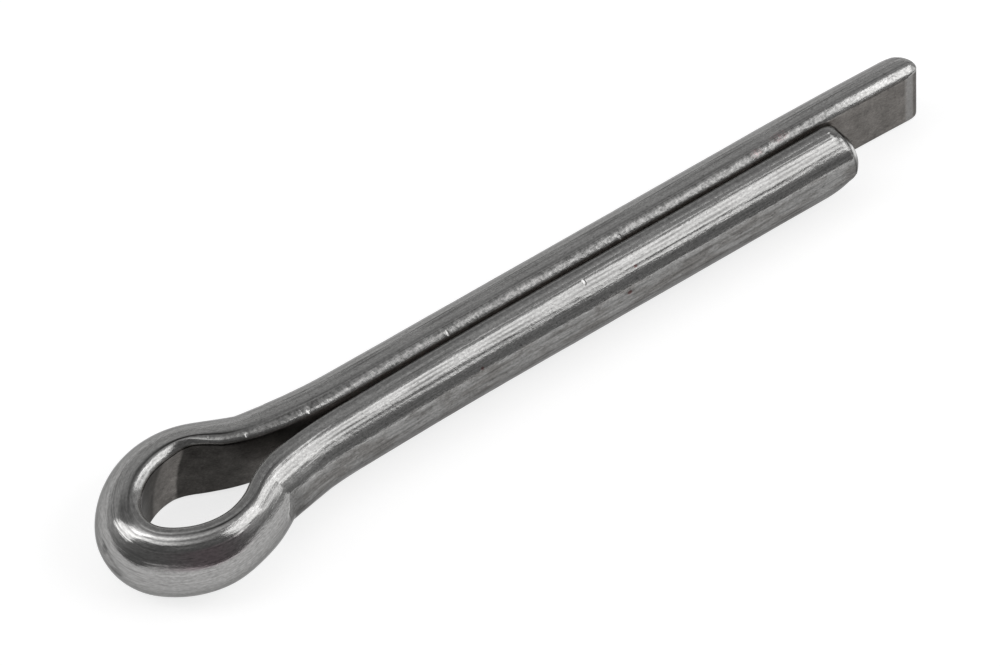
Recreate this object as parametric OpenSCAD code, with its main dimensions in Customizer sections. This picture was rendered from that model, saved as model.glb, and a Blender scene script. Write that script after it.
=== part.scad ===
// Split cotter pin: one length of half-round wire, bent back on itself round an
// eye so that its two prongs close flat to flat into a round shank.
//
// Frame: X runs along the shank, positive towards the tips. Y is across it,
// positive on the side of the long prong. Z is up, square to the plane of the
// bend. The origin is on the shank's axis at the seat under the eye, where the
// pin stops in its hole. Lengths are in millimetres and angles in degrees.

/* [Wire] */
// Diameter of the closed shank, which is twice the radius of the wire's round
shank_d = 3.6; // [3.2:0.1:4]
// Radius on the two long edges where the flat meets the round of the wire
corner_r = 0.36; // [0.2:0.02:0.5]
// Gap left between the two flats along the closed shank
prong_gap = 0.06; // [0.04:0.01:0.16]

/* [Length] */
// From the seat under the eye to the tip of the short prong
short_reach = 25; // [18:1:40]
// How far the long prong runs on past the short one
tip_stagger = 4; // [2:0.1:6]
// Width of the bevel round the rim of each cropped tip
tip_bevel = 0.25; // [0.1:0.05:0.4]
// Radius where the flat rolls over into each cropped tip
tip_roll_r = 0.4; // [0.2:0.05:0.6]
// Slant of the long prong's cut, which leaves its upper edge the shorter
long_tip_slant = 4; // [0:1:8]
// Slant of the short prong's cut, which leaves its lower edge the shorter
short_tip_slant = 3; // [0:1:8]

/* [Eye] */
// From the seat under the eye to the inside of its nose
eye_length = 6.85; // [6.5:0.05:7.5]
// How far the nose of the eye stands off the shank's axis, towards the short prong
nose_offset = 0.3; // [0.2:0.05:0.5]
// Lean of the nose out of square with the shank
eye_lean = 2; // [0:0.5:4]
// Radius of the flat round the nose of the eye
nose_r = 1; // [0.85:0.05:1.3]

/* [Long prong side of the eye] */
// Angle that the nose bend turns before the shoulder takes over
long_nose_turn = 32; // [28:1:45]
// Radius of the flat round the shoulder
long_shoulder_r = 2.4; // [2.3:0.05:2.8]
// Slope of the flank that runs down to the neck
long_flank_slope = 24.5; // [20:0.5:29]
// Radius of the flat where the flank turns into the neck
long_neck_r = 5.7; // [4:0.1:8]
// Slope at the end of the neck, where the throat takes over
long_throat_slope = 11; // [8:0.5:14]
// Radius of the flat along the throat
long_throat_r = 20; // [12:1:24]
// Slope at the end of the throat, which the prong then closes slowly
long_closing_slope = 3.5; // [1:0.5:5]
// Length over which the prong closes
long_closing_run = 3; // [2:0.5:8]

/* [Short prong side of the eye] */
// Angle that the nose bend turns before the shoulder takes over
short_nose_turn = 45; // [38:1:50]
// Radius of the flat round the shoulder
short_shoulder_r = 2.8; // [2.75:0.05:3.2]
// Slope of the flank that runs down to the neck
short_flank_slope = 34.5; // [28:0.5:36]
// Radius of the flat where the flank turns into the neck
short_neck_r = 3.8; // [3:0.1:4.4]
// Slope at the end of the neck, where the throat takes over
short_throat_slope = 12.5; // [9:0.5:14]
// Radius of the flat along the throat
short_throat_r = 17; // [10:1:18]
// Slope at the end of the throat, which the prong then closes slowly
short_closing_slope = 2; // [1:0.5:4]
// Length over which the prong closes
short_closing_run = 7.5; // [3:0.5:8]

/* [Hidden] */
$fn = 96;
steel = [0.56, 0.56, 0.55];
wire_r = shank_d / 2;

// The round of the wire is centred half the gap behind its flat, so that the two
// closed prongs share one axis
inset = prong_gap / 2;
// Centre of the circle that rounds a long edge, and where it meets the round
corner_z = sqrt(pow(wire_r - corner_r, 2) - pow(corner_r + inset, 2));
meet_x = wire_r * (corner_r + inset) / (wire_r - corner_r) - inset;

// Half-round section: depth from the flat along x, height along y. The rounding
// circles are drawn 3% full, so each crosses the flat and the round at a slight
// angle, as the rolls leave it, and never runs along them.
module wire_section() {
    intersection() {
        translate([-inset, 0]) circle(r = wire_r);
        translate([0, -shank_d]) square([shank_d, 2 * shank_d]);
        union() {
            translate([-shank_d, -corner_z]) square([2 * shank_d, 2 * corner_z]);
            translate([meet_x, -2 * shank_d]) square([2 * shank_d, 4 * shank_d]);
            translate([corner_r, corner_z]) circle(r = 1.03 * corner_r);
            translate([corner_r, -corner_z]) circle(r = 1.03 * corner_r);
        }
    }
}

// A bend is [radius of the flat, turn]. A positive turn folds the wire towards
// its flat and a negative one towards its round. Headings are measured from +X.
function side(bend) = sign(bend[1]);

// How far a chain of bends goes along X and Y, from the heading it starts at
function reach_x(bends, heading, i = 0) = i == len(bends) ? 0
    : side(bends[i]) * bends[i][0] * (sin(heading) - sin(heading - bends[i][1]))
      + reach_x(bends, heading - bends[i][1], i + 1);
function reach_y(bends, heading, i = 0) = i == len(bends) ? 0
    : side(bends[i]) * bends[i][0] * (cos(heading - bends[i][1]) - cos(heading))
      + reach_y(bends, heading - bends[i][1], i + 1);

// Moves its children in a coarse step and a fine one, to place them more finely
function coarse(v) = round(v * 100) / 100;
module put(x, y) {
    translate([coarse(x), coarse(y), 0])
        translate([x - coarse(x), y - coarse(y), 0]) children();
}

// The wire along a chain of bends that starts at a point with a heading
module bent_wire(bends, x, y, heading, i = 0) {
    if (i < len(bends)) {
        r = bends[i][0];
        turn = bends[i][1];
        s = side(bends[i]);
        put(x + s * r * sin(heading), y - s * r * cos(heading))
            rotate_extrude(start = heading + s * 90, angle = -turn)
                translate([r, 0]) mirror([s < 0 ? 1 : 0, 0]) wire_section();
        bent_wire(bends, x + reach_x([bends[i]], heading), y + reach_y([bends[i]], heading),
                  heading - turn, i + 1);
    }
}

// The wire running straight along +X, with its flat facing -Y
module straight_wire(len) {
    rotate([90, 0, 90]) linear_extrude(height = len) wire_section();
}

// What the cropping tool takes off a tip whose end is at x = 0
module crop(slant) {
    far = shank_d;
    rotate([0, -slant, 0]) {
        translate([0, -far, -far]) cube([far, 2 * far, 2 * far]);
        // bevel round the rim
        rotate([0, -90, 0]) difference() {
            cylinder(r = wire_r + 1, h = tip_bevel + 0.5);
            translate([0, 0, -0.01])
                cylinder(r1 = wire_r - tip_bevel - 0.01, r2 = wire_r + 0.5, h = tip_bevel + 0.51);
        }
        // roll of the flat into the cut
        translate([0, 0, -far]) linear_extrude(height = 2 * far) difference() {
            translate([-tip_roll_r, -1]) square([tip_roll_r + 1, tip_roll_r + 1 + inset]);
            translate([-tip_roll_r, tip_roll_r + inset - 0.012]) circle(r = tip_roll_r);
        }
    }
}

// One prong with its half of the eye, from the nose to the tip, with the flat
// facing -Y. The nose starts off the axis by "off", at "lean" from square. The
// flank is a near-straight bend, as long as it takes for the prong to close.
flank_turn = 1;

module prong(off, lean, nose_turn, shoulder_r, flank_slope, neck_r, throat_slope,
             throat_r, closing_slope, closing_run, reach, slant) {
    start = 90 + lean;
    eye = [[nose_r, nose_turn], [shoulder_r, start - nose_turn + flank_slope - flank_turn]];
    neck = [[neck_r, throat_slope - flank_slope], [throat_r, closing_slope - throat_slope],
            [coarse(closing_run / sin(closing_slope)), -closing_slope]];
    spare = off + reach_y(eye, start) + reach_y(neck, -flank_slope) - prong_gap / 2;
    flank_r = max(0.1, coarse(spare / (cos(flank_slope - flank_turn) - cos(flank_slope))));
    bends = concat(eye, [[flank_r, flank_turn]], neck);
    shank_x = -eye_length + reach_x(bends, start);
    shank_y = off + reach_y(bends, start);
    difference() {
        union() {
            bent_wire(bends, -eye_length, off, start);
            put(shank_x, shank_y) straight_wire(coarse(reach + 0.5 - shank_x));
        }
        translate([reach, 0, 0]) crop(slant);
    }
}

module long_prong() {
    prong(-nose_offset, eye_lean, long_nose_turn, long_shoulder_r, long_flank_slope,
          long_neck_r, long_throat_slope, long_throat_r, long_closing_slope,
          long_closing_run, short_reach + tip_stagger, long_tip_slant);
}

module short_prong() {
    mirror([0, 1, 0])
        prong(nose_offset, -eye_lean, short_nose_turn, short_shoulder_r, short_flank_slope,
              short_neck_r, short_throat_slope, short_throat_r, short_closing_slope,
              short_closing_run, short_reach, -short_tip_slant);
}

module cotter_pin() {
    color(steel) union() {
        long_prong();
        short_prong();
    }
}

cotter_pin();
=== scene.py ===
"""Cotter pin: the looks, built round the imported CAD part. Everything is in metres in the part's own frame."""

import math

import bpy
import numpy as np
from mathutils import Matrix, Quaternion, Vector


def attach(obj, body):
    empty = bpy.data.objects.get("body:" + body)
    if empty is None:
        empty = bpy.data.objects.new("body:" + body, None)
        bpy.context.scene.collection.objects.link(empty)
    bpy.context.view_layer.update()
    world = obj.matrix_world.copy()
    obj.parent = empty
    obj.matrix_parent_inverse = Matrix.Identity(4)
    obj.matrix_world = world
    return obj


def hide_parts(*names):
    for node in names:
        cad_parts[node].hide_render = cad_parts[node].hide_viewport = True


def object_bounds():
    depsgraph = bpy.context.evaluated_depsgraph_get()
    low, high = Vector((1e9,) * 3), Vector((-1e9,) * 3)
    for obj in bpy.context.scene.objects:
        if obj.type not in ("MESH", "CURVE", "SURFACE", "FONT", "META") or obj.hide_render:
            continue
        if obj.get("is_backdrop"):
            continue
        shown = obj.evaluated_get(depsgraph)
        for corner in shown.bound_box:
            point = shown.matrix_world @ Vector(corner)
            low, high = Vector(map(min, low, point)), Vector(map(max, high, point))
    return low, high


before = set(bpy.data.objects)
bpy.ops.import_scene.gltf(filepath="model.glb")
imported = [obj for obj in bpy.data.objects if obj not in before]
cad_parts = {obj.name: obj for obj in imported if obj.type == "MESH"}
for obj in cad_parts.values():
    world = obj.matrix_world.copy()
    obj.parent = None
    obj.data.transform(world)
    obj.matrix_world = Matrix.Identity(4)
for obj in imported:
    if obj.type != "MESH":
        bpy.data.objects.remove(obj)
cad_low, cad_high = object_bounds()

MM = 0.001


# ---------------------------------------------------------------- small helpers
def smooth(a, b, x):
    """0 below a, 1 above b, an S between them."""
    t = np.clip((np.asarray(x, float) - a) / (b - a), 0, 1)
    return t * t * (3 - 2 * t)


def bell(x, centre, width):
    return np.exp(-(((np.asarray(x, float) - centre) / width) ** 2))


class Waves:
    """A repeatable smooth random function of one or two variables: a sum of sines with random phases."""

    def __init__(self, seed, sizes, n=24):
        r = np.random.default_rng(seed)
        self.k = [
            r.uniform(0.55, 1.6, n) * 2 * math.pi / size * r.choice([-1, 1], n)
            for size in sizes
        ]
        self.phase = r.uniform(0, 2 * math.pi, n)
        self.n = n

    def __call__(self, *at):
        at = np.broadcast_arrays(*[np.asarray(a, float) for a in at])
        total = np.zeros(at[0].shape)
        for i in range(self.n):
            total += np.sin(sum(k[i] * a for k, a in zip(self.k, at)) + self.phase[i])
        return total / math.sqrt(self.n / 2)


# ---------------------------------------------------------------- the wire's path
WIRE = 1.8  # radius of the half-round wire, mm
HALF_GAP = 0.03
NOSE = (-6.834, -0.294)
NOSE_R = 0.958
LEAN = 2.05

# turn at the nose, shoulder radius, flank slope, neck radius, slope after the neck,
# throat radius, slope after the throat, run of the last gentle bend, tip, end slant
LONG = dict(nose=32.16, shoulder=2.405, flank=24.41, neck=5.707, after=11.10, throat=19.88, last=4.34, run=2.0, tip=29.06, slant=0.057)
SHORT = dict(nose=45.06, shoulder=2.823, flank=34.73, neck=3.787, after=12.59, throat=16.98, last=1.80, run=7.77, tip=25.02, slant=0.020)


def prong_path(q, side):
    """The inner flat's line from the nose to the tip, drawn as if it bent to +Y, at every 0.01 mm."""
    rad = math.radians
    nose, flank, after, last = (rad(q[k]) for k in ("nose", "flank", "after", "last"))
    start = math.pi / 2 + rad(LEAN) * side
    closing = q["run"] / math.sin(last)
    drop = (
        q["neck"] * (math.cos(after) - math.cos(flank))
        + q["throat"] * (math.cos(last) - math.cos(after))
        + closing * (1 - math.cos(last))
    )
    # height reached after the nose and the shoulder
    y = NOSE[1] * side
    for r, a, b in ((NOSE_R, start, start - nose), (q["shoulder"], start - nose, -flank)):
        y += r * (math.cos(b) - math.cos(a))
    straight = (y - drop - HALF_GAP) / math.sin(flank)
    parts = [
        (nose * NOSE_R, -1 / NOSE_R),
        ((start - nose + flank) * q["shoulder"], -1 / q["shoulder"]),
        (straight, 0.0),
        ((flank - after) * q["neck"], 1 / q["neck"]),
        ((after - last) * q["throat"], 1 / q["throat"]),
        (last * closing, 1 / closing),
    ]
    step = 0.01
    edges = np.cumsum([0] + [p[0] for p in parts])
    s = np.arange(0, edges[-1] + 32, step)
    mid = s + step / 2
    bend = np.zeros_like(s)
    for (a, b), (_, k) in zip(zip(edges[:-1], edges[1:]), parts):
        bend[(mid >= a) & (mid < b)] = k
    return s, bend, start, edges


def whole_path():
    """Both prongs joined at the nose: along is 0 at the nose, + on the long prong and - on the short one."""
    sl, bl, start_l, el = prong_path(LONG, 1)
    ss, bs, start_s, es = prong_path(SHORT, -1)
    # on the short side the wire is walked backwards, so its bends keep their sign
    along = np.concatenate([-ss[::-1][:-1], sl])
    bend = np.concatenate([bs[::-1][1:], bl[:-1]])
    # the bends run into each other over about 0.3 mm
    k = np.exp(-0.5 * (np.arange(-60, 61) / 15.0) ** 2)
    bend = np.convolve(np.pad(bend, 60, mode="edge"), k / k.sum(), mode="valid")
    zero = len(ss) - 1
    turn = np.concatenate([[0], np.cumsum(bend * 0.01)])
    heading = math.pi / 2 + math.radians(LEAN) + turn - turn[zero]
    mid = (heading[1:] + heading[:-1]) / 2
    x = np.concatenate([[0], np.cumsum(np.cos(mid) * 0.01)])
    y = np.concatenate([[0], np.cumsum(np.sin(mid) * 0.01)])
    x += NOSE[0] - x[zero]
    y += NOSE[1] - y[zero]
    # the long prong's last part leans in a little
    past = np.clip(x - 22, 0, None) * (np.arange(len(x)) > zero)
    y -= 0.0025 * past**2
    heading = heading - 0.005 * past
    return along, x, y, heading, el, -es


along_fine, x_fine, y_fine, heading_fine, edges_long, edges_short = whole_path()
end_long = np.interp(LONG["tip"], x_fine[along_fine > 2], along_fine[along_fine > 2])
back = along_fine < -2
end_short = np.interp(SHORT["tip"], x_fine[back][::-1], along_fine[back][::-1])

# ring places: close together on the head, at the creases and at the tips
def ring_places():
    places = []
    a = end_short
    while a < end_long:
        places.append(a)
        x = np.interp(a, along_fine, x_fine)
        step = 0.085 if x < -0.2 else (0.085 + 0.11 * float(smooth(-0.2, 3.5, x)))
        if a > 0:
            to_tip = end_long - a
        else:
            to_tip = a - end_short
        if to_tip < 1.0:
            step = 0.022 + 0.11 * to_tip**1.5
        if -5.35 < a < -4.25 or 5.15 < a < 6.0:
            step = 0.045
        a += step
    places[-1] = end_long
    return np.array(places)


along = ring_places()
px = np.interp(along, along_fine, x_fine)
py = np.interp(along, along_fine, y_fine)
heading = np.interp(along, along_fine, heading_fine)

# ---------------------------------------------------------------- the section
LOW_ROUND = 0.32
# the worn top corner, from the flat to the round: arcs from one outward normal to the next, degrees, and their radius.
# It is broad on the shank's long prong, tight elsewhere, and coined to a chamfer round the eye's left end
BROAD = ((180, 130, 0.46), (130, 105, 0.50), (105, 74.5, 0.12))
TIGHT = ((180, 130, 0.25), (130, 103, 0.25), (103, 74.5, 0.55))
COINED = ((180, 138, 0.10), (138, 112, 0.80), (112, 74.5, 0.16))

# fine lines that run along the wire, by their place round it: degrees from the top, half width in degrees, depth in mm
LINES = (
    (21.9, 0.8, 0.0018),
    (28.9, 1.3, 0.0040),
    (34.4, 1.6, 0.0048),
    (42.3, 0.8, 0.0016),
    (52.0, 1.6, 0.0012),
    (67.5, 1.6, 0.0026),
    (74.0, 1.3, 0.0020),
    (79.5, 1.4, 0.0028),
    (91.5, 1.6, 0.0030),
    (99.0, 1.2, 0.0020),
    (113.0, 1.6, 0.0035),
    (128.0, 1.5, 0.0030),
    (141.0, 1.2, 0.0035),
    (164.0, 1.4, 0.0120),
)


def section_curve(corner, step=0.0008):
    """The half-round section as a fine curve from the middle of the flat up over the top, round the back and in from below:
    place along it, depth behind the flat, height, outward normal, part."""
    arcs = [tuple(math.radians(a) for a in arc[:2]) + (arc[2],) for arc in corner]
    last = arcs[-1][1]
    fit = WIRE * math.cos(last) / sum(r * (math.cos(b) - math.cos(a)) for a, b, r in arcs)
    arcs = [(a, b, r * fit) for a, b, r in arcs]
    zt = WIRE * math.sin(last) - sum(r * (math.sin(b) - math.sin(a)) for a, b, r in arcs)
    zl, tl = math.sqrt((WIRE - LOW_ROUND) ** 2 - LOW_ROUND**2), math.asin(LOW_ROUND / (WIRE - LOW_ROUND))
    runs = [(zt, math.pi, math.pi, 0)]
    runs += [((a - b) * r, a, b, 1) for a, b, r in arcs]
    runs += [(WIRE * (last + math.pi / 2 - tl), last, tl - math.pi / 2, 2)]
    runs += [(LOW_ROUND * (math.pi / 2 + tl), tl - math.pi / 2, -math.pi, 3), (zl, -math.pi, -math.pi, 4)]
    ends = np.cumsum([0] + [r[0] for r in runs])
    t = np.arange(0, ends[-1], step)
    mid = t + step / 2
    which = np.clip(np.searchsorted(ends, t, side="right") - 1, 0, len(runs) - 1)
    mids = np.clip(np.searchsorted(ends, mid, side="right") - 1, 0, len(runs) - 1)
    lengths, starts, stops, parts = (np.array([r[k] for r in runs]) for k in range(4))

    def turned(k, at):
        return starts[k] + (stops[k] - starts[k]) * np.clip((at - ends[k]) / lengths[k], 0, 1)

    angle, angle_mid = turned(which, t), turned(mids, mid)
    d = np.concatenate([[0], np.cumsum(np.sin(angle_mid) * step)[:-1]])
    z = np.concatenate([[0], np.cumsum(-np.cos(angle_mid) * step)[:-1]])
    return t, np.maximum(d, 0), z, np.cos(angle), np.sin(angle), parts[which], ends


def section_points():
    """Places round the section, close together where it curves and at the fine lines. One row for each kind of corner:
    depth behind the flat, height, and the outward normal."""
    t, d, z, nd, nz, part, ends = section_curve(BROAD)
    round_deg = np.degrees(np.arctan2(d * (part > 0), z))
    step = np.select([part == 0, part == 1, part == 2, part == 3], [0.22, 0.032, 0.070, 0.055], 0.24)
    step = np.where((part == 1) & (t > ends[3]), 0.0085, step)
    step = np.where((part == 2) & (round_deg > 120), 0.10, step)
    for at, wide, _ in LINES:
        close = np.exp(-(((round_deg - at) / (1.7 * wide)) ** 2)) * (d > 0.2)
        step = step * (1 - close) + 0.027 * close
    number = np.concatenate([[0], np.cumsum(np.diff(t) / (0.5 * (step[1:] + step[:-1])))])
    count = int(round(number[-1]))
    at = np.interp(np.arange(count) * number[-1] / count, number, t)
    rows = []
    for corner in (BROAD, TIGHT, COINED):
        t2, *curves, part2, ends2 = section_curve(corner)
        moved = np.interp(at, ends, ends2)
        row = [np.interp(moved, t2, v) for v in curves]
        row[0] = row[0] * (moved > ends2[1]) * (moved < ends2[-2])
        rows.append(row)
    return at, np.array(rows)


around, kinds = section_points()
depth0, high0 = kinds[0, 0], kinds[0, 1]
# angle from straight up, round the outside: 0 at the top, 90 at the back, 180 underneath
lay = np.degrees(np.arctan2(depth0, high0))

A = along[:, None]
rings, count = len(along), len(around)
# how much of each kind of corner there is, ring by ring
coined = smooth(0.2, 1.0, along) * (1 - smooth(3.3, 4.7, along)) + smooth(31.0, 34.5, along)
broad = smooth(8.0, 12.0, along) * (1 - smooth(31.0, 34.5, along))
shares = np.stack([broad, 1 - broad - coined, coined], 1)
D, Z, ND, NZ = np.einsum("rk,kcj->crj", shares, kinds)
LAY = np.degrees(np.arctan2(D, Z))
T = around[None, :]
X = px[:, None]

on_flat = 1 - smooth(0.0, 0.10, D)
on_round = smooth(12, 22, LAY) * (1 - smooth(160, 170, LAY))
head = 1 - smooth(-2.6, -0.6, X)

# ---------------------------------------------------------------- real relief, mm
# draw lines: fine ridges along the wire, kept where they are round it, slowly coming and going
drawn = np.zeros((rings, count))
for seed, size, depth_mm in ((11, 0.20, 0.0010), (12, 0.42, 0.0016), (13, 0.9, 0.0020)):
    line = Waves(seed, (size,), 40)(T)
    drawn += depth_mm * line * (0.8 + 0.3 * Waves(seed + 50, (11.0, 2.5), 16)(A, T))
relief = drawn * on_round * (1 - 0.6 * head)
# the short prong is drawn a little fuller on its side
full = np.interp(np.arange(0, 181.0), [17, 29, 40, 50, 62, 112], [0, 0.013, 0.019, 0.032, 0.045, 0])
full = np.convolve(np.pad(full, 6, mode="edge"), np.full(5, 0.2), mode="same")[6:-6]
relief += np.interp(LAY, np.arange(0, 181.0), full) * (1 - smooth(-9.0, -7.0, A))
# the wire isn't perfectly straight or even
relief += 0.0012 * Waves(21, (5.0, 2.0), 20)(A, T) * on_round
relief += 0.0006 * Waves(22, (1.1, 0.8), 24)(A, T) * on_round
lines = np.zeros((rings, count))
for i, (at_deg, wide, deep) in enumerate(LINES):
    here = bell(LAY, at_deg + 0.35 * Waves(200 + i, (9.0,), 10)(A), wide)
    strength = np.clip(0.85 + 0.35 * Waves(230 + i, (4.0,), 14)(A), 0.25, 1.5)
    if deep < 0.01:
        strength = strength * (1 - 0.6 * head)
    relief -= deep * strength * here
    lines = np.maximum(lines, here * strength * min(1.0, deep / 0.0045))
# a dark scratch between two painted highlight streaks on the nose
scratch_at = 22.2 + 3.6 * smooth(-0.55, -0.15, A)
scratch = bell(LAY, scratch_at, 1.0) * smooth(-3.0, -1.9, A) * (1 - smooth(-0.15, 0.10, A))
scratch = scratch + bell(LAY, 20.9, 1.7) * (1 - smooth(-9.0, -7.0, A))
relief -= 0.004 * scratch
lines = np.maximum(lines, scratch)
# the two streaks beside the scratch are painted highlights
nose_highlight_streaks = (bell(LAY, scratch_at - 2.6, 1.1) + 0.55 * bell(LAY, scratch_at + 2.9, 1.2)) * smooth(-3.6, -1.6, A) * (1 - smooth(-0.25, 0.15, A))
# the sharp edge above the top corner is a groove with a burred lip; it runs nearer the eye on the head
edge_at = np.interp(A, [-5.5, -4.3, -1.4, 0.0, 1.5, 2.2, 3.5, 4.3, 5.3, 6.7, 8.0, 11.0], [16.5, 16.0, 14.0, 14.5, 14.3, 13.5, 14.0, 14.4, 13.0, 13.0, 14.5, 16.5])
edge_at = edge_at + 0.2 * Waves(300, (8.0,), 10)(A)
relief -= 0.010 * bell(LAY, edge_at, 1.3) * (1 - 0.8 * bell(A, 0.1, 0.5))
edge_line = bell(LAY, edge_at, 1.15 + 0.45 * head) * np.clip(0.85 + 0.25 * Waves(301, (5.0,), 14)(A), 0.4, 1.2) * (1 - 0.8 * bell(A, 0.1, 0.5))

# ---------------------------------------------------------------- depth factor at the neck creases
# the outward normal, away from the flat
nx, ny = -np.sin(heading), np.cos(heading)
if nx[np.argmin(np.abs(along))] > 0:  # at the nose the outside is towards -X
    nx, ny = -nx, -ny
factor = np.ones(rings)
folds = {}  # where the creases lie along the wire


def crease(side, at, slope, flank):
    """Outside the neck the former left a crease: the flank runs straight on to it, then the wire goes on at a lower slope."""
    flank, slope = math.radians(flank), math.radians(slope)
    mine = (along > 0) == (side > 0)
    y, my = py * side, ny * side
    ox, oy = px + nx * WIRE, y + my * WIRE
    k = np.flatnonzero(mine & (px < -1.9) & (px > -5))
    k = k[np.argmin(np.abs(np.arctan2(nx[k], my[k]) - flank))]
    top = oy[k] - math.tan(flank) * (at - ox[k])
    for i in sorted(np.flatnonzero(mine & (px >= px[k]) & (px <= at + 6)), key=lambda n: px[n]):
        reach = []
        for point, angle in (((ox[k], oy[k]), flank), ((at, top), slope)):
            s, c = math.sin(angle), math.cos(angle)
            reach.append(((point[0] - px[i]) * s + (point[1] - y[i]) * c) / (nx[i] * s + my[i] * c))
        if reach[1] > reach[0] and side not in folds:
            folds[side] = along[i]
        want = max(reach)
        if px[i] > at + 1.0:
            want = max(want, WIRE)
        factor[i] = min(max(want / WIRE, 0.7), 1.15)


crease(1, -1.41, 8.24, LONG["flank"])
crease(-1, -1.58, 10.47, SHORT["flank"])

# the crease on the short prong's side is crisp, with a raised lip on the eye's side of it; the lip is painted lighter,
# a painted highlight
fold = -4.68 - 0.048 * np.clip(74 - LAY, 0, 16)
lip = bell(A, fold + 0.09, 0.065) * bell(LAY, 72, 9)
pinch = bell(A, fold - 0.02, 0.045) * smooth(52, 60, LAY) * (1 - smooth(84, 92, LAY))
relief += 0.014 * lip - 0.010 * pinch
# the former pressed a short curved mark into the nose
mark_at = 0.20 - 0.42 * (np.clip(LAY, 60, 84) - 66) / 14
press = bell(A, mark_at, 0.075) * smooth(62, 67, LAY) * (1 - smooth(80, 85, LAY))
relief -= 0.014 * press

# ---------------------------------------------------------------- put the rings in place
dd = D * factor[:, None] + relief * ND
zz = Z + relief * NZ
# inside the eye the long prong's shoulder was bent to a corner that slants with the height
lean = A - np.interp(Z, [-1.4, -0.24, 0.66, 1.4], [3.16, 3.26, 3.43, 3.75])
bent = np.where(lean < 0, np.clip(lean + 1.2, 0, 9) ** 2 / 7.2, 0.20 - 0.15 * lean)
bent = np.maximum(bent, 0) - 0.045 * bell(lean, 0, 0.14)
high = np.clip((Z + 1.0) / 2.4, 0, 1)
bent = bent * high - (1 - high) * np.interp(A, [3.1, 3.5, 3.8, 4.1, 4.4, 4.8, 5.4, 7.0], [0, 0.045, 0.08, 0.10, 0.10, 0.08, 0.05, 0])
bent = bent - high * np.interp(A, [3.95, 5.2, 6.6, 7.5, 10.0], [0, 0.05, 0.12, 0.12, 0])
dd = dd + bent * np.clip(1 - D / 0.62, 0, 1)
# along the shank the slit lies a little towards the short prong
slit = np.where(A > 0, 0.12, 0.09) * smooth(6.0, 10.5, np.abs(A)) * np.clip(1 - D / 1.2, 0, 1)
slit = slit * (1 - smooth(27.0, end_long - 2.6, A))
dd = dd - np.where(A > 0, slit, -slit)
# and the short prong is a little thinner at its shoulder and its neck
dd = dd - 0.10 * bell(A, -3.65, 0.80) * smooth(0.8, 1.7, D)
dd = dd + np.clip(1 - D / 1.2, 0, 1) * np.interp(A, [-6.4, -5.4, -4.4, -3.4, -2.4, -1.6], [0, 0.05, 0.10, 0.09, 0.03, 0])


def roll(t, length, deep):
    """How far a rolled edge has drawn in at t mm from the end."""
    e = np.clip((length - t) / length, 0, 1)
    return deep * (1 - np.sqrt(1 - e**2))


to_end = np.where(along > 0, end_long - along, along - end_short)
band = np.zeros((rings, count))  # a lighter band along the end of the long prong's flat, where its dull scale is left off: painted light on the rolled edge
rim = np.zeros((rings, count))  # the dark line round the short end
bevel_highlight = np.zeros((rings, count))  # painted highlight on the bevel beyond it
shear = np.zeros((rings, count))
for i in np.flatnonzero(to_end < 2.5):
    t = to_end[i]
    if along[i] > 0:
        draw = roll(t, 0.464, 0.389) - 0.12 * bell(lay, 15, 18) * roll(t, 0.49, 1.0)
        draw = draw + smooth(22, 60, lay) * (1 - smooth(125, 155, lay)) * roll(t, 0.95, 0.26)
        inner = 0.20 * max(0.0, 0.72 - t) + roll(t, 0.28, 0.27)
        band[i] = (1 - smooth(0.66, 0.75, t)) * smooth(0.28, 0.38, t)
        slant = LONG["slant"]
    else:
        draw = 0.95 * max(0.0, 0.25 - t) + roll(t, 0.10, 0.06) + bell(lay, 0, 28) * roll(t, 0.85, 1.45)
        draw = draw + bell(lay, 117, 24) * roll(t, 1.6, 0.45)
        draw = draw - 0.012 * math.exp(-(((t - 0.36) / 0.06) ** 2)) + 0.016 * math.exp(-(((t - 0.27) / 0.025) ** 2))
        inner = roll(t, 0.30, 0.25)
        rim[i] = math.exp(-(((t - 0.275) / 0.045) ** 2))
        bevel_highlight[i] = 1 - smooth(0.17, 0.23, t)
        slant = SHORT["slant"]
    scale = 1 - draw / WIRE
    dd[i], zz[i] = np.maximum(dd[i] * scale, inner), zz[i] * scale
    shear[i] = -(1 - smooth(0.8, 2.5, t)) * slant * zz[i]

V = np.zeros((rings, count, 3))
V[:, :, 0] = px[:, None] + nx[:, None] * dd + shear
V[:, :, 1] = py[:, None] + ny[:, None] * dd
V[:, :, 2] = zz

# ---------------------------------------------------------------- how the surface looks from place to place, 0 to 1
# the rim round the front of the eye is worn dull and pale
pale_rim = (1 - smooth(0.05, 0.20, D)) * (Z > 1.15) * smooth(-7.2, -6.6, A) * (1 - smooth(0.7, 1.4, A))
# the end band leaves off the flats' dull scale, as painted light
flat_look = on_flat * (1 - 0.75 * band) * (1 - 0.8 * pale_rim)
corner_look = smooth(0.03, 0.20, D) * (1 - smooth(edge_at - 3.5, edge_at - 1.2, LAY)) * (Z > 0)
# painted light: the shank's dark reflection band is made paler
dark_band_painted_light = smooth(43, 48, LAY) * (1 - smooth(60, 64, LAY)) * (1 - head) * np.where(A > 0, 0.3, 1.0)
low_look = smooth(57, 61, LAY) * (1 - smooth(165, 175, LAY)) * np.where(A > 0, 1 - head, 1 - smooth(fold - 0.06, fold + 0.02, A))
gap_look = (1 - smooth(0.00, 0.06, D)) * smooth(-0.8, 1.5, X) * (1 - smooth(SHORT["tip"] - 0.6, SHORT["tip"] + 0.2, X))
# the corner is hammered rough on the long prong, and nearly smooth on the head and the short prong
beaded = corner_look * np.where(A > 0, 1 - 0.75 * (1 - smooth(-3.6, -1.8, X)), 0.3) * (1 - 0.5 * smooth(32.0, 35.0, A))
# painted highlight on the long prong's corner near its end, and painted light on the corner next to the flat along the
# shank
corner_painted_light = np.maximum(0.45 * corner_look * smooth(32.0, 35.0, A), 0.35 * smooth(0.01, 0.05, D) * (1 - smooth(0.10, 0.22, D)) * (Z > 0) * smooth(8.0, 11.0, A))
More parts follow.
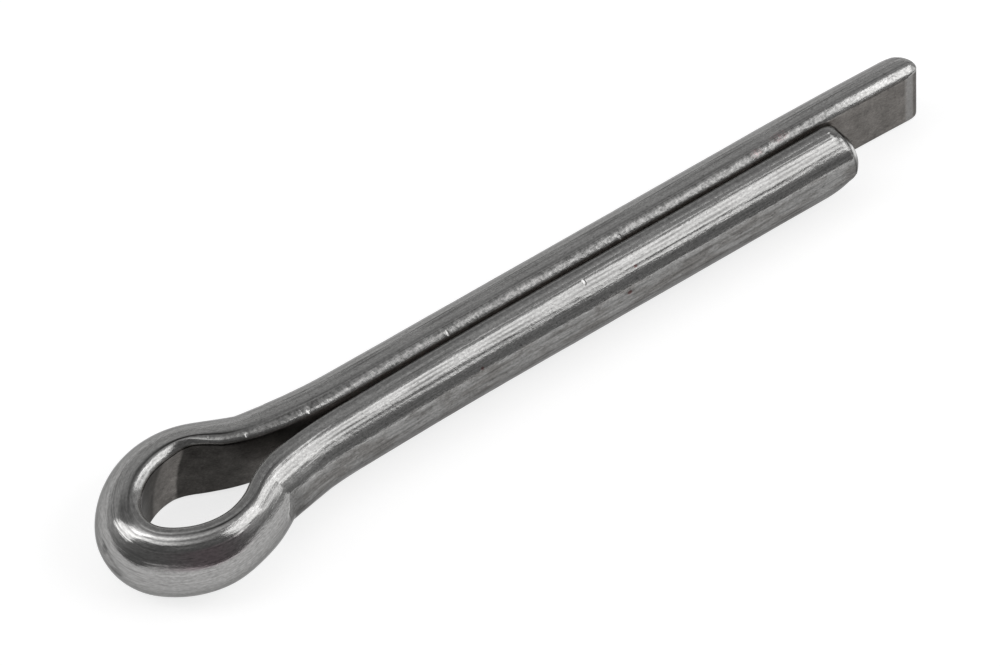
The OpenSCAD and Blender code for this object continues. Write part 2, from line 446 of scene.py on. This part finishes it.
# in the eye the flat is dark; a paler patch on the shoulder before the bend is painted light, and the flat beyond the
# bend and a line at the patch's start are darker, painted shade
wall = on_flat * head
patch_from = np.interp(Z, [-1.5, -0.72, 0.0, 0.88, 1.4], [1.85, 1.90, 1.99, 2.24, 2.60])
patch_to = np.interp(Z, [-1.2, -0.24, 0.66, 1.3], [3.18, 3.26, 3.43, 3.60])
wall_lit_patch = wall * smooth(patch_from, patch_from + 0.22, A) * (1 - smooth(patch_to - 0.05, patch_to + 0.05, A)) * (0.75 + 0.25 * smooth(2.4, 3.0, A))
wall_shade = wall * (smooth(patch_to - 0.05, patch_to + 0.05, A) + 0.6 * bell(A, patch_from - 0.04, 0.07) * (Z < 0.2))
# darker under the neck, up to the crease
neck_dark_patch = bell(A, -5.75, 0.75) * smooth(50, 62, LAY) * (1 - smooth(150, 170, LAY)) * (A < fold)
# a reddish-purple tint on the nose's dark band
tinted = bell(A, -2.1, 0.85) * smooth(33, 38, LAY) * (1 - smooth(56, 62, LAY))

# ---------------------------------------------------------------- mesh
verts = (V.reshape(-1, 3) * MM).tolist()
faces = []
for i in range(rings - 1):
    a, b = i * count, (i + 1) * count
    for j in range(count):
        k = (j + 1) % count
        faces.append((a + j, b + j, b + k, a + k))
# end caps: shrinking loops to the middle
def cap(ring, flip):
    base = V[ring]
    centre = np.array([base[:, 0].mean(), 0.0, 0.0])
    lo, hi = base.min(0), base.max(0)
    centre = (lo + hi) / 2
    previous = list(range(ring * count, ring * count + count))
    for k in (0.8, 0.55, 0.3, 0.12):
        loop = centre + (base - centre) * k
        start = len(verts)
        verts.extend((loop * MM).tolist())
        extra_wire.extend([(along[ring], d, z) for d, z in zip(D[ring] * k, Z[ring] * k)])
        now = list(range(start, start + count))
        for j in range(count):
            m = (j + 1) % count
            f = (previous[j], previous[m], now[m], now[j])
            faces.append(f[::-1] if flip else f)
        previous = now
    verts.append(tuple(centre * MM))
    extra_wire.append((along[ring], 0.6, 0.0))
    tip = len(verts) - 1
    for j in range(count):
        m = (j + 1) % count
        f = (previous[j], previous[m], tip)
        faces.append(f[::-1] if flip else f)


extra_wire = []
cap(0, False)
cap(rings - 1, True)

mesh = bpy.data.meshes.new("cotter_pin_visual")
mesh.from_pydata(verts, [], faces)
mesh.update()
wire = np.zeros((rings, count, 3))
wire[:, :, 0] = along[:, None]
wire[:, :, 1] = D
wire[:, :, 2] = Z
wire = np.concatenate([wire.reshape(-1, 3), np.array(extra_wire)])
attribute = mesh.attributes.new("wire", "FLOAT_VECTOR", "POINT")
attribute.data.foreach_set("vector", wire.astype(np.float32).ravel())
tail = len(wire) - rings * count
for name, values in (
    ("look", (flat_look, corner_look, head * np.ones_like(D))),
    ("marks", (lines, low_look, gap_look)),
    ("ends", (band, rim, bevel_highlight)),
    ("edges", (edge_line, beaded, np.maximum(pinch, press))),
    ("eye", (wall_shade, wall_lit_patch, wall)),
    ("lip_highlight_tint_rim", (lip, tinted, pale_rim)),
    ("neck_patch_and_painted_light", (neck_dark_patch, dark_band_painted_light, np.maximum(nose_highlight_streaks, corner_painted_light))),
):
    data = np.stack([np.broadcast_to(v, (rings, count)).ravel() for v in values], 1)
    data = np.concatenate([data, np.tile([0.0, 0.0, 0.0], (tail, 1))])
    attribute = mesh.attributes.new(name, "FLOAT_VECTOR", "POINT")
    attribute.data.foreach_set("vector", data.astype(np.float32).ravel())
mesh.polygons.foreach_set("use_smooth", [True] * len(mesh.polygons))
pin = bpy.data.objects.new("pin_wire", mesh)
bpy.context.scene.collection.objects.link(pin)

import bmesh

bm = bmesh.new()
bm.from_mesh(mesh)
bmesh.ops.recalc_face_normals(bm, faces=bm.faces)
bm.to_mesh(mesh)
bm.free()

# ---------------------------------------------------------------- steel
steel = bpy.data.materials.new("drawn_steel")
steel.use_nodes = True
nt = steel.node_tree
nt.nodes.clear()


def node(kind, **values):
    n = nt.nodes.new(kind)
    for k, v in values.items():
        setattr(n, k, v)
    return n


def link(a, b):
    nt.links.new(a, b)


def math_node(op, a, b=None, c=None, clamp=False):
    n = node("ShaderNodeMath", operation=op, use_clamp=clamp)
    for i, v in enumerate((a, b, c)):
        if v is None:
            continue
        if isinstance(v, (int, float)):
            n.inputs[i].default_value = v
        else:
            link(v, n.inputs[i])
    return n.outputs[0]


def ranged(value, a, b, lo=0.0, hi=1.0, kind="SMOOTHSTEP"):
    n = node("ShaderNodeMapRange", interpolation_type=kind)
    link(value, n.inputs[0])
    for i, v in enumerate((a, b, lo, hi), 1):
        n.inputs[i].default_value = v
    return n.outputs[0]


def noise(vector, scale, detail=2.0, rough=0.5, name=None):
    """Noise over the straightened wire: scale is (along, across) in cycles per mm."""
    m = node("ShaderNodeVectorMath", operation="MULTIPLY")
    link(vector, m.inputs[0])
    m.inputs[1].default_value = (scale[0], scale[1], scale[1])
    n = node("ShaderNodeTexNoise", noise_dimensions="3D")
    n.inputs["Scale"].default_value = 1.0
    n.inputs["Detail"].default_value = detail
    n.inputs["Roughness"].default_value = rough
    link(m.outputs[0], n.inputs["Vector"])
    return n.outputs["Fac"]


def mix_colour(factor, a, b, mode="MIX"):
    n = node("ShaderNodeMix", data_type="RGBA", blend_type=mode)
    for i, v in ((0, factor), (6, a), (7, b)):
        if isinstance(v, (int, float)):
            n.inputs[i].default_value = v
        elif isinstance(v, tuple):
            n.inputs[i].default_value = (*v, 1.0)
        else:
            link(v, n.inputs[i])
    return n.outputs[2]


def attribute_parts(name):
    n = node("ShaderNodeAttribute", attribute_name=name)
    split = node("ShaderNodeSeparateXYZ")
    link(n.outputs["Vector"], split.inputs[0])
    return split.outputs


def weigh(value, amount, start=None):
    """start + value * amount, where amount may vary over the surface."""
    return math_node("MULTIPLY_ADD", value, amount, 0.0 if start is None else start)


def centred(value):
    return math_node("SUBTRACT", value, 0.5)


def times(value, amount, factor):
    """value * (1 + amount * factor), where factor varies over the surface."""
    return math_node("MULTIPLY", value, math_node("MULTIPLY_ADD", factor, amount, 1.0))


def both(a, b):
    return math_node("MULTIPLY", a, b)


def spot(at, size):
    """1 inside an oval round a point of the wire (along, depth, height, in mm), 0 outside it."""
    away = node("ShaderNodeVectorMath", operation="SUBTRACT")
    link(W, away.inputs[0])
    away.inputs[1].default_value = at
    squash = node("ShaderNodeVectorMath", operation="DIVIDE")
    link(away.outputs[0], squash.inputs[0])
    squash.inputs[1].default_value = size
    length = node("ShaderNodeVectorMath", operation="LENGTH")
    link(squash.outputs[0], length.inputs[0])
    return ranged(length.outputs["Value"], 1.0, 0.45)


def largest(values):
    total = values[0]
    for v in values[1:]:
        total = math_node("MAXIMUM", total, v)
    return total


place = node("ShaderNodeAttribute", attribute_name="wire")
W = place.outputs["Vector"]
flat_m, corner_m, head_m = attribute_parts("look")
line_m, low_m, gap_m = attribute_parts("marks")
band_m, rim_m, bevel_highlight_m = attribute_parts("ends")
edge_m, bead_m, crease_shade_m = attribute_parts("edges")
wall_shade_m, wall_lit_patch_m, wall_m = attribute_parts("eye")
lip_highlight_m, tinted_m, pale_m = attribute_parts("lip_highlight_tint_rim")
neck_dark_patch_m, dark_band_light_m, painted_highlights_m = attribute_parts("neck_patch_and_painted_light")

streak_long = noise(W, (0.08, 8.0), 3.0, 0.6)
streak_fine = noise(W, (0.40, 26.0), 3.0, 0.6)
stroke = noise(W, (1.8, 11.0), 2.0, 0.55)
mottle = noise(W, (0.8, 2.6), 4.0, 0.65)
grain = noise(W, (9.0, 14.0), 2.0, 0.6)
bead = noise(W, (6.5, 5.0), 2.5, 0.65)
dash = noise(W, (1.5, 13.0), 1.0, 0.5)
pit = noise(W, (5.5, 9.0), 1.0, 0.5)
# nicks on the top corner: dents in the bump, and painted glints in the colour
nicks_and_glints = largest(
    [
        spot((4.60, 0.28, 1.73), (0.07, 0.12, 0.30)),
        spot((6.06, 0.15, 1.66), (0.08, 0.12, 0.30)),
        spot((8.62, 0.18, 1.69), (0.10, 0.16, 0.30)),
        spot((8.30, 0.22, 1.69), (0.06, 0.12, 0.30)),
        spot((14.9, 0.20, 1.69), (0.07, 0.13, 0.30)),
        spot((22.8, 0.16, 1.69), (0.09, 0.12, 0.30)),
        spot((-20.36, 0.80, 1.61), (0.09, 0.16, 0.20)),
    ]
)
specks = largest([spot((-21.9, 1.66, 0.69), (0.14, 0.10, 0.10)), spot((-22.5, 1.17, 1.36), (0.10, 0.08, 0.08)), spot((-15.2, 1.50, 0.98), (0.09, 0.08, 0.08))])
stains = largest([spot((0.12, 1.71, 0.55), (0.09, 0.25, 0.26)), spot((-0.17, 1.79, 0.10), (0.15, 0.25, 0.24))])
blush = largest([spot((30.5, 0.42, 1.75), (0.55, 0.30, 0.25)), spot((29.3, 0.30, 1.72), (0.35, 0.22, 0.25))])

# brightness of the bare metal
value = math_node("MULTIPLY_ADD", head_m, 0.02, 0.300)
bare = math_node("SUBTRACT", 1.0, flat_m)
value = weigh(centred(streak_long), both(bare, 0.12), value)
value = weigh(centred(streak_fine), both(bare, 0.20), value)
value = weigh(centred(grain), 0.30, value)
# small dark pits
value = times(value, -0.35, both(ranged(pit, 0.66, 0.76), math_node("SUBTRACT", 1.0, head_m)))
# darker, patchy lower side of the shank
patch = both(low_m, ranged(mottle, 0.42, 0.62))
value = times(value, -0.30, patch)
value = times(value, -0.16, both(low_m, ranged(stroke, 0.45, 0.70)))
value = times(value, -0.22, both(both(head_m, ranged(dash, 0.60, 0.70)), math_node("SUBTRACT", 1.0, flat_m)))
# dirt in the drawn lines, the flats' dull scale, the dark gap
value = times(value, -0.42, line_m)
value = both(value, math_node("SUBTRACT", 1.0, both(edge_m, math_node("MULTIPLY_ADD", head_m, 0.36, 0.44))))
value = times(value, -0.50, rim_m)
# painted highlight on the short end's bevel
value = times(value, 0.90, bevel_highlight_m)
# painted shade in the crease and in the pressed mark
value = times(value, -0.40, crease_shade_m)
# painted highlight on the lip beside the crease
value = times(value, 0.60, lip_highlight_m)
value = times(value, -0.38, neck_dark_patch_m)
# painted light on the shank's dark reflection band
value = times(value, 0.50, dark_band_light_m)
# painted highlights: the nose streaks and the long prong's corner
value = times(value, 0.80, painted_highlights_m)
# the lower side darker all over: painted shade
value = times(value, -0.17, low_m)
blotch = noise(W, (1.6, 2.0), 4.0, 0.68)
scale = math_node("MULTIPLY_ADD", centred(blotch), -0.85, 0.46)
scale = weigh(centred(grain), -0.20, scale)
value = both(value, math_node("SUBTRACT", 1.0, both(flat_m, scale)))
value = times(value, -0.52, wall_m)
# painted shade in the eye beyond the bend
value = times(value, -0.42, wall_shade_m)
# painted light on the shoulder's patch in the eye
value = times(value, 1.20, wall_lit_patch_m)
# the beaded corner
value = times(value, 2.4, both(bead_m, centred(bead)))
value = times(value, -0.20, bead_m)
# painted glints at the nicks
value = times(value, 0.6, nicks_and_glints)
value = times(value, -0.45, specks)
value = times(value, -0.34, both(stains, ranged(mottle, 0.30, 0.50)))
tint = mix_colour(flat_m, (1.0, 0.992, 0.978), (1.0, 0.945, 0.89))
tint = mix_colour(both(patch, 0.8), tint, (1.0, 0.965, 0.93))
tint = mix_colour(tinted_m, tint, (1.05, 0.88, 0.93))
tint = mix_colour(specks, tint, (1.0, 0.62, 0.60))
tint = mix_colour(both(blush, ranged(grain, 0.40, 0.62)), tint, (1.0, 0.84, 0.84))
scaled = node("ShaderNodeVectorMath", operation="SCALE")
link(tint, scaled.inputs[0])
link(value, scaled.inputs["Scale"])
base = mix_colour(both(gap_m, 0.35), scaled.outputs[0], (0.110, 0.080, 0.062))
base = mix_colour(both(pale_m, 0.8), base, (0.30, 0.29, 0.28))

rough = math_node("MULTIPLY_ADD", head_m, -0.03, 0.15)
rough = weigh(centred(streak_fine), 0.12, rough)
rough = math_node("ADD", rough, both(low_m, ranged(mottle, 0.42, 0.65, 0.0, 0.12)))
rough = math_node("MULTIPLY_ADD", bead_m, 0.14, rough)
rough = math_node("MULTIPLY_ADD", flat_m, 0.20, rough)

metal = math_node("MULTIPLY_ADD", pale_m, -0.55, math_node("MULTIPLY_ADD", gap_m, -0.4, 1.0))

height = math_node("MULTIPLY", streak_long, 0.0012)
height = weigh(streak_fine, 0.0018, height)
height = weigh(grain, 0.0026, height)
height = weigh(stroke, math_node("MULTIPLY_ADD", low_m, 0.0030, 0.0010), height)
height = weigh(bead, both(bead_m, 0.0150), height)
height = weigh(nicks_and_glints, -0.010, height)
bump = node("ShaderNodeBump")
bump.inputs["Strength"].default_value = 1.0
bump.inputs["Distance"].default_value = MM
link(height, bump.inputs["Height"])

shader = node("ShaderNodeBsdfPrincipled")
shader.inputs["Specular Tint"].default_value = (0.5, 0.5, 0.5, 1.0)
link(metal, shader.inputs["Metallic"])
link(base, shader.inputs["Base Color"])
link(rough, shader.inputs["Roughness"])
link(bump.outputs[0], shader.inputs["Normal"])
output = node("ShaderNodeOutputMaterial")
link(shader.outputs[0], output.inputs["Surface"])
mesh.materials.append(steel)

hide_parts("cotter_pin")
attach(pin, "root")

# ---------------------------------------------------------------- floor
floor_z = min(cad_low.z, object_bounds()[0].z)
half = 3.0
floor_mesh = bpy.data.meshes.new("floor")
floor_mesh.from_pydata([(-half, -half, 0), (half, -half, 0), (half, half, 0), (-half, half, 0)], [], [(0, 1, 2, 3)])
floor = bpy.data.objects.new("floor", floor_mesh)
floor.location = (0.01, 0, floor_z - 0.00002)
bpy.context.scene.collection.objects.link(floor)
paper = bpy.data.materials.new("pale_paper")
paper.use_nodes = True
sheet = paper.node_tree.nodes["Principled BSDF"]
sheet.inputs["Base Color"].default_value = (0.44, 0.44, 0.44, 1)
sheet.inputs["Emission Color"].default_value = (1.0, 1.0, 1.0, 1)
sheet.inputs["Emission Strength"].default_value = 0.72
sheet.inputs["Roughness"].default_value = 0.9
sheet.inputs["Specular IOR Level"].default_value = 0.1
floor_mesh.materials.append(paper)
floor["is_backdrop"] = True

# ---------------------------------------------------------------- light
VIEW_AZ = 34.113


def towards(azimuth, elevation):
    """A direction: azimuth from straight away from the camera, clockwise seen from above."""
    a, e = math.radians(azimuth + VIEW_AZ), math.radians(elevation)
    return Vector((math.sin(a) * math.cos(e), math.cos(a) * math.cos(e), math.sin(e)))


# two softboxes stand side by side close by on the right
for name, (aim, height_deg, turn), wide, tall in (
    ("softbox_right", (103.5, 46.5, -8), 0.077, 0.100),
    ("softbox_beside", (73.5, 43.0, -20), 0.066, 0.046),
):
    facing = towards(aim, height_deg)
    tall_way = (Vector((0, 0, 1)) - facing * facing.z).normalized()
    wide_way = tall_way.cross(facing)
    tilt = math.radians(turn)
    lamp = bpy.data.lights.new(name, "AREA")
    lamp.shape = "RECTANGLE"
    lamp.size, lamp.size_y = wide, tall
    lamp.energy = 2.0 * math.pi * wide * tall
    softbox = bpy.data.objects.new(name, lamp)
    turned = (wide_way * math.cos(tilt) + tall_way * math.sin(tilt), tall_way * math.cos(tilt) - wide_way * math.sin(tilt), facing)
    softbox.matrix_world = Matrix.Translation(Vector((-0.005, 0, 0)) + facing * 0.18) @ Matrix(turned).transposed().to_4x4()
    softbox.visible_camera = False
    bpy.context.scene.collection.objects.link(softbox)

world = bpy.data.worlds.new("studio")
bpy.context.scene.world = world
world.use_nodes = True
nt = world.node_tree
nt.nodes.clear()
at = node("ShaderNodeTexCoord")
direction = at.outputs["Generated"]
parts = node("ShaderNodeSeparateXYZ")
link(direction, parts.inputs[0])
up = parts.outputs[2]


def along_axis(azimuth, elevation=0):
    n = node("ShaderNodeVectorMath", operation="DOT_PRODUCT")
    link(direction, n.inputs[0])
    n.inputs[1].default_value = towards(azimuth, elevation)
    return n.outputs["Value"]


def brighter(value, *more):
    for extra in more:
        value = math_node("ADD", value, extra)
    return value


def beyond(a, b, soft):
    """1 on one side of the line through two directions (azimuth, elevation), 0 on the other."""
    side = node("ShaderNodeVectorMath", operation="DOT_PRODUCT")
    link(direction, side.inputs[0])
    side.inputs[1].default_value = towards(*a).cross(towards(*b)).normalized()
    return ranged(side.outputs["Value"], -soft, soft)


def panel(corners, soft):
    """A four-cornered light far away, its corners clockwise as the object sees it."""
    inside = None
    for a, b in zip(corners, corners[1:] + corners[:1]):
        edge = beyond(a, b, soft)
        inside = edge if inside is None else math_node("MULTIPLY", inside, edge)
    return inside


# a dark room on the camera's side, a paler backdrop and ceiling
behind = along_axis(0)
value = brighter(
    ranged(behind, -0.65, 0.30, 0.18, 0.53),
    math_node("MULTIPLY", ranged(behind, 0.0, 0.5), ranged(up, 0.35, 0.62, 0.08, -0.12)),
    ranged(up, 0.86, 0.97, 0.0, 0.24),
    # the table runs on towards the camera
    ranged(along_axis(-174, -30), 0.682, 0.730, 0.0, 0.62),
    ranged(along_axis(-64, 45), 0.93, 0.985, 0.0, -0.18),
    # the ceiling's lit part on the left
    math_node("MULTIPLY", beyond((-112, 48), (-180, 68), 0.02), ranged(along_axis(-120, 65), 0.87, 0.985, 0.0, 0.85)),
    # the softbox on the left, and what shows under the one on the right
    math_node("MULTIPLY", panel([(-117, 74), (-95, 72), (-73, 18), (-107, 32)], 0.025), ranged(up, 0.50, 0.92, 2.5, 1.3)),
    math_node("MULTIPLY", panel([(68, 31), (97, 32), (94, 18), (76, 12)], 0.025), 1.25),
    ranged(along_axis(104, 24), 0.970, 0.995, 0.0, 0.30),
)
background = node("ShaderNodeBackground")
link(value, background.inputs["Color"])
background.inputs["Strength"].default_value = 1.0
out = node("ShaderNodeOutputWorld")
link(background.outputs[0], out.inputs["Surface"])

# ---------------------------------------------------------------- camera
az, el = math.radians(VIEW_AZ), math.radians(57.154)
back = Vector((-math.sin(az) * math.cos(el), -math.cos(az) * math.cos(el), math.sin(el)))
right = Vector((math.cos(az), -math.sin(az), 0))
upward = Vector((math.sin(az) * math.sin(el), math.cos(az) * math.sin(el), math.cos(el)))
H, DIST, SCALE = 3.6, 75.932, 95.149
tx, ty = (344.600 - 500) / SCALE, -(417.423 - 333) / SCALE
camera_data = bpy.data.cameras.new("camera")
camera_data.sensor_width = 36.0
camera_data.lens = SCALE * DIST * 36.0 / 1000
camera_data.clip_start = 0.01
camera_data.clip_end = 20
camera = bpy.data.objects.new("camera", camera_data)
stand = (back * DIST - right * tx - upward * ty) * H * MM + Vector((2.25 * MM, 0, 0))
level = math.radians(-0.254)
right, upward = right * math.cos(level) + upward * math.sin(level), upward * math.cos(level) - right * math.sin(level)
camera.matrix_world = Matrix.Translation(stand) @ Matrix((right, upward, back)).transposed().to_4x4()
bpy.context.scene.collection.objects.link(camera)
bpy.context.scene.camera = camera
bpy.context.scene.view_settings.view_transform = "Standard"

low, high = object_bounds()
